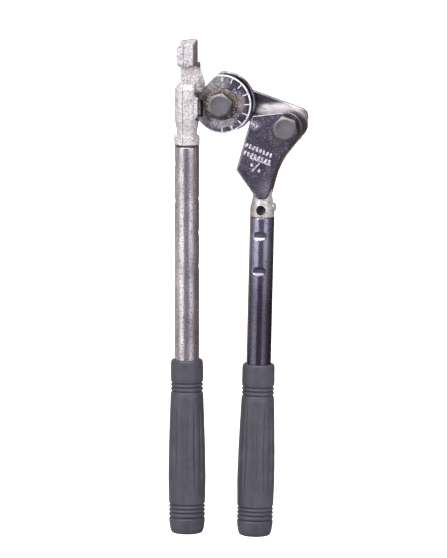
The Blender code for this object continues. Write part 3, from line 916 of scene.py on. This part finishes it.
def make_wheel():
    """The grooved wheel, cut off where it meets the casting."""
    flare = math.degrees(math.acos((WHEEL_FRONT_R - BEND_R) / GROOVE_R))
    lip_r = WHEEL_BACK_R - WHEEL_LIP
    back_flare = math.degrees(math.acos((lip_r - BEND_R) / GROOVE_R))
    groove = arc((BEND_R, 0), GROOVE_R, flare, 360 - back_flare, 36)
    groove += arc((lip_r, groove[-1][1] - WHEEL_LIP), WHEEL_LIP, 84, 0, 8)
    rim = WHEEL_FRONT_R - WHEEL_CHAMFER
    edge = WHEEL_HALF - WHEEL_CHAMFER / 2
    profile = [(0, WHEEL_HALF), (rim, WHEEL_HALF), (WHEEL_FRONT_R, edge), *groove]
    profile += [(WHEEL_BACK_R, 0.3 - WHEEL_HALF), (WHEEL_BACK_R - 0.3, -WHEEL_HALF)]
    profile.append((0, -WHEEL_HALF))
    wheel = turned("form_wheel_body", profile, 160)
    far = 20.0
    left = block("left", (-far - 12, -far, -6), (WHEEL_LEFT_X, far, 6))
    chord = block("chord", (WHEEL_CHORD, -far, -6), (far + 12, far, 6))
    moved(chord, spin(WHEEL_CHORD_TURN))
    pocket = block("pocket", *POCKET)
    bore = turned("bore", [(HOLE_R, 6), (HOLE_R, -6)], 64)
    cut(wheel, left, chord, pocket, bore)
    piece(wheel, "fixed_handle", TOOL, WHEEL, "dark_chrome", "form_wheel", sharp=28, flat=True)


def label(text, size, thickness):
    """Figures as a flat solid, centred on the origin."""
    curve = bpy.data.curves.new("figures", "FONT")
    curve.body = text
    curve.size = size * MM
    curve.extrude = thickness / 2 * MM
    curve.offset = 0.05 * MM
    curve.align_x = "CENTER"
    curve.align_y = "CENTER"
    drawn = added("figures", curve)
    bpy.context.view_layer.update()
    depsgraph = bpy.context.evaluated_depsgraph_get()
    mesh = bpy.data.meshes.new_from_object(drawn.evaluated_get(depsgraph))
    bpy.data.objects.remove(drawn)
    return added("figures", welded(mesh, 0.001 * MM))


def bar(length, width, thickness):
    """A raised stroke along X with round ends, centred on the origin."""
    half = length / 2 - width / 2
    outline = arc((half, 0), width / 2, -90, 90, 6) + arc((-half, 0), width / 2, 90, 270, 6)
    return plate("stroke", outline, (-thickness / 2, thickness / 2))


def make_scale():
    """Angle scale: ticks every 22.5 degrees clockwise from the top, with the main angles' figures."""
    marks, figures = [], []
    for step in range(9):
        tick = bar(TICK[1] - TICK[0], 0.6, 0.2)
        marks.append(moved(tick, spin(90 - 22.5 * step) @ shift(sum(TICK) / 2, 0, WHEEL_HALF)))
    for angle in (0, 45, 90, 135, 180):
        drawn = label(str(angle), FIGURE_SIZE, 0.16)
        figures.append(moved(drawn, spin(180 - angle) @ shift(0, -FIGURES_R, WHEEL_HALF)))
    piece(gathered("angle_scale", marks), "fixed_handle", TOOL, MARKS, "dark_chrome")
    piece(gathered("angle_figures", figures), "fixed_handle", TOOL, FIGURES, "dark_chrome")


def make_braze():
    """The rough fillets that hold the wheel to the casting; the dark one below the pocket is partly a
    painted shadow.
    """
    lumps = [
        lump("braze", (-13.0, 5.6, 3.3), (1.9, 3.3, 1.5)),
        lump("braze", (-11.2, 6.3, 4.1), (2.4, 1.9, 0.9)),
        lump("braze", (-12.9, 8.8, 0.5), (1.5, 1.9, 4.2)),
        # This dark lump below the pocket is filler, and it also stands where the shade below the
        # pocket falls: partly a painted shadow.
        lump("braze", (-13.2, -8.0, 1.5), (1.5, 1.5, 3.4)),
        lump("braze", (-12.9, -2.5, -3.6), (1.6, 6.6, 1.6)),
    ]
    braze = roughened(fused("braze_fillets_and_painted_shadow", lumps, 0.25, 2), 0.5, 1.3, seed=7)
    piece(braze, "fixed_handle", TOOL, BRAZE, "rough_nickel", sharp=0)


# -------- handles


def softer_least(first, second, blend):
    """The smaller of two numbers, with a round change between them."""
    share = np.clip(0.5 + 0.5 * (second - first) / blend, 0, 1)
    return second + (first - second) * share - blend * share * (1 - share)


def make_tube(name, top, bottom, crimps, body, matrix, finish, slot, node):
    """A steel tube with the crimps that a round punch pressed into it."""
    bore = TUBE_R - TUBE_WALL
    edge = 0.35
    outside = resampled([(TUBE_R - edge, top), (TUBE_R, top - edge), (TUBE_R, bottom)], 0.45)
    tube = turned(name, [(bore, top), *outside, (bore, bottom)], 112, joined=True)

    def pressed(points, normals):
        for side, height, depth in crimps:
            side = np.array(side, float)
            reach = points[:, :2] @ side
            along = np.clip(np.abs(points[:, 2] - height), 0, PUNCH_R)
            floor = TUBE_R - depth + PUNCH_R - np.sqrt(PUNCH_R**2 - along**2)
            outer = np.hypot(points[:, 0], points[:, 1]) > bore + 0.3
            pushed = np.where(outer & (reach > 0), softer_least(reach, floor, 0.22), reach)
            points[:, :2] += (pushed - reach)[:, None] * side
        return points

    reshaped(tube, pressed)
    piece(tube, body, matrix, finish, slot, node, sharp=50)


def make_grip(name, top, foot, body, matrix, node):
    """A moulded grip: rings at both ends of its swell and tapered flutes between them."""
    stretch = (top - foot) / GRIP_LENGTH
    depths, radii = np.array(GRIP_SWELL).T
    fine = np.unique(np.concatenate([depths, np.arange(0, GRIP_LENGTH, 0.3)]))
    steps = 288
    angle = np.linspace(0, 2 * math.pi, steps, endpoint=False) + math.pi / 2
    profile = []
    for depth in fine:
        radius = np.interp(depth, depths, radii)
        for place in GRIP_RINGS:
            radius -= RING_DEPTH * math.exp(-(((depth - place) / 0.42) ** 2))
        along = (depth - FLUTE_ENDS[0]) / (FLUTE_ENDS[1] - FLUTE_ENDS[0])
        lens = math.sin(math.pi * min(max(along, 0), 1))
        phase = (angle - FLUTE_TURN) * FLUTES / (2 * math.pi)
        offset = np.abs(phase - np.round(phase)) * 2
        width = 0.2 + 0.45 * lens
        valley = np.clip(1 - (offset / width) ** 2, 0, 1)
        groove = FLUTE_DEPTH * lens**0.6 * valley
        profile.append((radius - groove, top - depth * stretch))
    floor = foot + GRIP_FLOOR
    bore = TUBE_R + 0.15
    profile += [(0, foot), (0, floor), (bore, floor), (bore, top)]
    grip = turned(name, profile, steps, joined=True)
    piece(grip, body, matrix, RUBBER, "grip_rubber", node, sharp=50)


def make_handles():
    handles = (
        ("fixed", FIXED_HANDLE, FIXED_CRIMPS, "fixed_handle", LEFT_CHROME, "worn_chrome"),
        ("moving", MOVING_HANDLE, MOVING_CRIMPS, "moving_handle", RIGHT_CHROME, "tube_chrome"),
    )
    for name, matrix, crimps, body, finish, slot in handles:
        inverse = matrix.inverted()
        grip_low, grip_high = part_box(name + "_grip")
        tube_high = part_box(name + "_tube")[1]
        centre = middle(name + "_grip")

        def height(y):
            return (inverse @ Vector((centre.x, y, centre.z))).z / MM

        top, foot, tube_top = height(grip_high.y), height(grip_low.y), height(tube_high.y)
        make_grip(name + "_grip_moulding", top, foot, body, matrix, name + "_grip")
        bottom = foot + GRIP_FLOOR + 0.4
        tube_name = name + "_tube_plated"
        make_tube(tube_name, tube_top, bottom, crimps, body, matrix, finish, slot, name + "_tube")


# -------- bolts


def hexagon(turn):
    """The hexagon's radius in each direction of a ring of points."""
    angle = np.linspace(0, 2 * math.pi, HEX_STEPS, endpoint=False) - turn
    side = math.pi / 3
    return HEX_HALF_FLATS / np.cos((angle + side / 2) % side - side / 2)


def make_bolt(prefix, seat, turn, body, matrix):
    """Head with turned-off corners, shank and, at its end, the thread."""
    top = seat + HEAD_HEIGHT
    face = top - 0.04
    flats = hexagon(turn)
    shoulder = np.minimum(face, face - (flats - HEX_FACE_R) * HEX_SLOPE)
    profile = [
        (0, top - 0.14),
        (4.3, top - 0.1),
        (4.9, top),
        (HEX_FACE_R, face),
        ((flats + HEX_FACE_R) / 2, (face + shoulder) / 2),
        (flats - 0.06, shoulder + 0.03),
        (flats, shoulder - 0.1),
        (flats, seat + 0.2),
        (flats - 0.2, seat),
        (BOLT_R, seat),
    ]
    angle = np.linspace(0, 1, HEX_STEPS, endpoint=False)
    for height in np.arange(NUT[0] + 1.0, BOLT_END, -0.12):
        wave = np.abs(((height / THREAD_PITCH + angle) % 1) * 2 - 1)
        lead = min(1.0, (height - BOLT_END) / 0.6)
        profile.append(((BOLT_R - THREAD_DEPTH * wave) * (0.86 + 0.14 * lead), height))
    profile.append((3.2, BOLT_END))
    bolt = moved(turned(prefix + "_bolt_steel", profile, HEX_STEPS), shift(0, 0, -top))
    at_top = matrix @ shift(0, 0, top)
    piece(bolt, body, at_top, BOLT_STEEL, "bolt_steel", prefix + "_bolt", sharp=30, flat=True)


def make_nut(prefix, turn, body, matrix):
    """Lock nut with the collar that holds its nylon ring."""
    low, high = NUT
    flats = hexagon(turn)
    fall = np.maximum(0, flats - HEX_FACE_R) * HEX_SLOPE
    profile = [
        (HOLE_R, high),
        (HEX_FACE_R, high),
        (flats, high - fall),
        (flats, low + fall),
        (NUT_COLLAR_R, low),
        (NUT_COLLAR_R, NUT_COLLAR_END + 0.5),
        (NUT_COLLAR_R - 0.2, NUT_COLLAR_END + 0.1),
        (NUT_COLLAR_R - 0.4, NUT_COLLAR_END),
        (NUT_SEAT_R, NUT_COLLAR_END),
        (NUT_SEAT_R, low - 0.1),
        (HOLE_R, low - 0.1),
    ]
    nut = turned(prefix + "_lock_nut", profile, HEX_STEPS, joined=True)
    moved(nut, shift(0, 0, -high))
    piece(nut, body, matrix @ shift(0, 0, high), BOLT_STEEL, "bolt_steel", prefix + "_nut", sharp=30)


def make_washer(name, levels, body, matrix, node, seed):
    """A stamped washer: rounded over on one side and a little uneven."""
    low, high = levels
    corners = (
        (HOLE_R, high, 0.2),
        (HOLE_R, low, 0.1),
        (WASHER_R, low, 0.15),
        (WASHER_R, high, 0.5),
    )
    profile = resampled([tuple(p) for p in rounded(corners, 15)], 0.4)
    washer = turned(name, profile, 96, joined=True)
    roughened(washer, 0.06, 1.2, seed)
    piece(washer, body, matrix, WASHER_RUST_AND_SHADOW, "washer_steel", node, sharp=50)


def make_fasteners():
    pivots = (
        ("bend", BEND_HEAD, BEND_TURN, "fixed_handle", TOOL),
        ("shoe", SHOE_HEAD, SHOE_TURN, "link", SHOE),
    )
    for number, (prefix, seat, turn, body, matrix) in enumerate(pivots):
        make_bolt(prefix, seat, turn, body, matrix)
        make_nut(prefix, turn, body, matrix)
        back = prefix + "_back_washer"
        make_washer(back + "_rusty", BACK_WASHER, body, matrix, back, 11 + number)
        for node, finish in (("_shim", BOLT_STEEL), ("_nut_ring", NYLON)):
            slots = frame["nodes"][prefix + node].data.materials
            slots.clear()
            slots.append(finish)
    make_washer("bend_front_washer_rusty", FRONT_WASHER, "fixed_handle", TOOL, "bend_front_washer", 5)


# -------- link and shoe


def make_link():
    heel = [(x, y, 0) for x, y in arc((0, 0), LINK_HEEL_R, 90, 260, 40)]
    link = plate("link_plate_plated", rounded([*heel, *LINK_UNDERSIDE]), LINK_LEVELS, 0.45)
    holes = [turned("hole", [(HOLE_R, 0), (HOLE_R, -12)], 64) for _ in range(2)]
    moved(holes[1], shift(LINK_LENGTH, 0, 0))
    cut(link, *holes)
    piece(link, "link", LINK, LINK_CHROME, "dark_chrome", "link_plate", sharp=30, flat=True)


def make_shoe():
    """The forged shoe with its forming groove."""
    hub = [(x, y, 0) for x, y in arc((0, 0), SHOE_HUB_R, 98, -39, 46)]
    outline = rounded([SHOE_TOP_LEFT, *hub, *SHOE_LOWER], 4)
    front = drawn_in(outline, SHOE_DRAFT)
    rings = [[(x, y, z) for x, y in line] for line, z in zip((outline, front), SHOE_LEVELS)]
    shoe = eased(loft("shoe_forging", rings), SHOE_EDGE)
    to_wheel = Vector((math.cos(SHOE_FACE_TURN), math.sin(SHOE_FACE_TURN), 0))
    groove = turned("groove", [(GROOVE_R, 60), (GROOVE_R, -60)], 96)
    centre = -LINK_VECTOR + to_wheel * BEND_R
    lay = Matrix.Rotation(SHOE_FACE_TURN, 4, "Z") @ spin(90, "X")
    moved(groove, Matrix.Translation(centre * MM) @ lay)
    bore = turned("bore", [(HOLE_R, 7), (HOLE_R, -7)], 64)
    cut(shoe, groove, bore)
    piece(shoe, "moving_handle", SHOE, SHOE_CHROME, "dark_chrome", "shoe_head", sharp=28, flat=True)


def make_shank():
    """The round end of the forging, with its dimple, and the pin across it."""
    profile = [tuple(p) for p in rounded(SHANK_PROFILE, 10)]
    shank = turned("shoe_shank", profile, 128)
    x, height = DIMPLE
    dimple = turned("dimple", [(DIMPLE_R, 9), (DIMPLE_R, 3.0), (0.3, 2.2)], 64)
    moved(dimple, shift(x, 0, height) @ spin(90, "X"))
    cut(shank, dimple)
    piece(shank, "moving_handle", MOVING_HANDLE, SHANK_CHROME, "rough_nickel", sharp=35)

    dome = [(2.3 * x, 5.9 + 1.4 * y) for x, y in arc((0, 0), 1, 90, 0, 9)]
    profile = [*dome, (2.3, 1.0), (0, 1.0)]
    pin = turned("cross_pin_dome", profile, 48)
    moved(pin, shift(0, 0, CROSS_PIN_Z) @ spin(90, "Y"))
    roughened(pin, 0.08, 1.0, 2)
    piece(pin, "moving_handle", MOVING_HANDLE, SHANK_CHROME, "rough_nickel", "cross_pin", sharp=40)


def make_shoe_marks():
    """Plain raised marks: rows of studs, a line, a stroke between dots, and three strokes above."""
    marks = []

    def stroke(x, y, length, width, turn):
        marks.append(moved(bar(length, width, 0.3), shift(x, y, SHOE_LEVELS[1]) @ spin(turn)))

    for x, y, slope in ((-20.9, -9.6, -22), (-21.9, -13.6, -20)):
        for number in range(8):
            reach = number * 1.93
            along = math.radians(slope)
            lean = 12 if number % 2 else -12
            across, up = reach * math.cos(along), reach * math.sin(along)
            stroke(x + across, y + up, 2.5, 1.2, slope + 90 + lean)
    stroke(-13.9, -18.0, 11.4, 0.65, -19)
    stroke(-16.3, -21.1, 6.2, 0.8, 46)
    stroke(-18.3, -19.9, 1.9, 1.3, 80)
    stroke(-14.5, -22.8, 1.9, 1.3, 80)
    for x, y in ((-18.2, 2.0), (-17.2, 0.9), (-15.7, 0.2)):
        stroke(x, y, 1.6, 0.9, 60)
    piece(gathered("shoe_pattern", marks), "moving_handle", SHOE, STUDS, "dark_chrome")


# -------- studio

CAMERA_YAW = math.radians(11)
CAMERA_PITCH = math.radians(9.2)
CAMERA_DISTANCE = 8.0
VIEW_HEIGHT = 287.9  # what the picture's height spans at the tool
VIEW_CENTRE = (-0.15, -91.0)  # the picture's middle, right and up from the bend pivot

# The studio seen by the metal, by direction: degrees from straight up towards the right, colour
STUDIO_STRENGTH = 2.0
STUDIO_BANDS = (
    (-180, (0.24, 0.2, 0.19)),
    (-68, (0.3, 0.28, 0.28)),
    (-56, (0.65, 0.63, 0.66)),
    (-24, (0.65, 0.63, 0.66)),
    (-15, (0.08, 0.075, 0.09)),
    (25, (0.08, 0.075, 0.09)),
    (37, (0.45, 0.43, 0.48)),
    (56, (0.45, 0.43, 0.48)),
    (80, (0.12, 0.1, 0.11)),
    (125, (0.03, 0.02, 0.02)),
    (180, (0.05, 0.033, 0.03)),
)
# Its ends, beyond the hook and beyond the grips, by the parts of a direction of length 1: the Y
# where an end begins and where it is full, the X it reaches to either side, and its colour
STUDIO_ENDS = (
    (0.5, 0.64, 0.4, (1.6, 1.58, 1.57)),
    (-0.45, -0.75, 2.0, (0.06, 0.06, 0.065)),
)
STUDIO_END_EDGE = 0.2  # how far in X the sides fade
STUDIO_HORIZON = (-0.2, 0.05)  # the Z between which the ends fade in

# Suns: name, strength, angle across in degrees, and where the light comes from
KEY_LIGHT = ("key_light", 0.45, 14, (-0.5, 0.55, 0.8))
FILL_LIGHT = ("fill_light", 3.4, 50, (0.4, 0.2, 0.9))

# The table, and where it touches the shoe bolt and the grips along Y
TABLE_GLOW = 0.78
TABLE_R = 9000.0
BOLT_CONTACT = 3.3  # below the shoe pivot
GRIP_CONTACT = 29  # above the fixed grip's lower end


def make_studio_light():
    """Bands of light around the handles' direction, with a patch at either end of it."""
    world = bpy.data.worlds.new("studio")
    bpy.context.scene.world = world
    world.use_nodes = True
    tree = world.node_tree
    tree.nodes.clear()
    direction = new_node(tree, "ShaderNodeTexCoord").outputs["Generated"]
    x, y, z = new_node(tree, "ShaderNodeSeparateXYZ", {0: direction}).outputs
    turn = remap(calculated("ARCTAN2", x, z), -math.pi, math.pi)
    bands = new_node(tree, "ShaderNodeValToRGB", {"Fac": turn})
    bands.color_ramp.interpolation = "EASE"
    stops = bands.color_ramp.elements
    for number, (degrees, colour) in enumerate(STUDIO_BANDS):
        place = degrees / 360 + 0.5
        stop = stops[number] if number < 2 else stops.new(place)
        stop.position = place
        stop.color = (*colour, 1.0)
    seen = bands.outputs["Color"]
    above = remap(z, *STUDIO_HORIZON)
    aside = calculated("ABSOLUTE", x)
    for begins, full, width, colour in STUDIO_ENDS:
        across = both(above, remap(aside, width + STUDIO_END_EDGE, width))
        seen = mix(both(remap(y, begins, full), across), seen, colour)
    lit = new_node(tree, "ShaderNodeBackground", {"Color": seen, "Strength": STUDIO_STRENGTH})
    backdrop = new_node(tree, "ShaderNodeBackground", {"Color": (1.0, 1.0, 1.0)})
    camera_ray = new_node(tree, "ShaderNodeLightPath").outputs["Is Camera Ray"]
    shown = {0: camera_ray, 1: lit.outputs[0], 2: backdrop.outputs[0]}
    surface = new_node(tree, "ShaderNodeMixShader", shown).outputs[0]
    new_node(tree, "ShaderNodeOutputWorld", {"Surface": surface})


def make_sun(name, energy, angle, direction):
    data = bpy.data.lights.new(name, "SUN")
    data.energy = energy
    data.angle = math.radians(angle)
    sun = added(name, data)
    sun.rotation_euler = Vector(direction).to_track_quat("Z", "Y").to_euler()
    return sun


def make_lights():
    """A small softbox high beyond the hook, and a wide fill above that isn't reflected."""
    make_sun(*KEY_LIGHT)
    make_sun(*FILL_LIGHT).visible_glossy = False


def make_floor():
    """A pale table. The tool rests on its bolts' ends and its grips, so the table slopes a little."""
    finish = Finish("pale_table")
    finish.surface((0.8, 0.8, 0.8), 0.9)
    finish.set("Specular IOR Level", 0.0)
    finish.set("Emission Color", (1.0, 1.0, 1.0))
    finish.set("Emission Strength", TABLE_GLOW)
    bolts = Vector((0, SHOE_PIVOT.y - BOLT_CONTACT * MM, 0))
    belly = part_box("fixed_grip")[0]
    belly.y += GRIP_CONTACT * MM
    slope = math.atan2(belly.z - bolts.z, bolts.y - belly.y)
    floor = plate("pale_table_top", arc((0, 0), TABLE_R, 0, 354, 59), (-20, 0))
    floor.data.materials.append(finish.material)
    tilt = Matrix.Rotation(-slope, 4, "X")
    floor.matrix_world = Matrix.Translation(bolts - Vector((0, 0, 0.1 * MM))) @ tilt
    floor.visible_glossy = False


def make_camera():
    """Looks down on the tool from its right and a little from its hook's end."""
    toward = Vector(
        (
            math.sin(CAMERA_YAW) * math.cos(CAMERA_PITCH),
            math.sin(CAMERA_PITCH),
            math.cos(CAMERA_YAW) * math.cos(CAMERA_PITCH),
        )
    )
    right = Vector((math.cos(CAMERA_YAW), 0, -math.sin(CAMERA_YAW)))
    up = toward.cross(right)
    aim = BEND_PIVOT + (right * VIEW_CENTRE[0] + up * VIEW_CENTRE[1]) * MM
    data = bpy.data.cameras.new("camera")
    data.lens = data.sensor_width * CAMERA_DISTANCE / (VIEW_HEIGHT * MM)
    data.clip_end = 20.0
    camera = added("camera", data)
    turn = Matrix((right, up, toward)).transposed().to_4x4()
    camera.matrix_world = Matrix.Translation(aim + toward * CAMERA_DISTANCE) @ turn
    bpy.context.scene.camera = camera


make_camera()
make_studio_light()
make_floor()
make_casting()
make_wheel()
make_scale()
make_braze()
make_handles()
make_fasteners()
make_link()
make_shoe()
make_shank()
make_shoe_marks()
make_lights()
bpy.context.scene.view_settings.view_transform = "Standard"
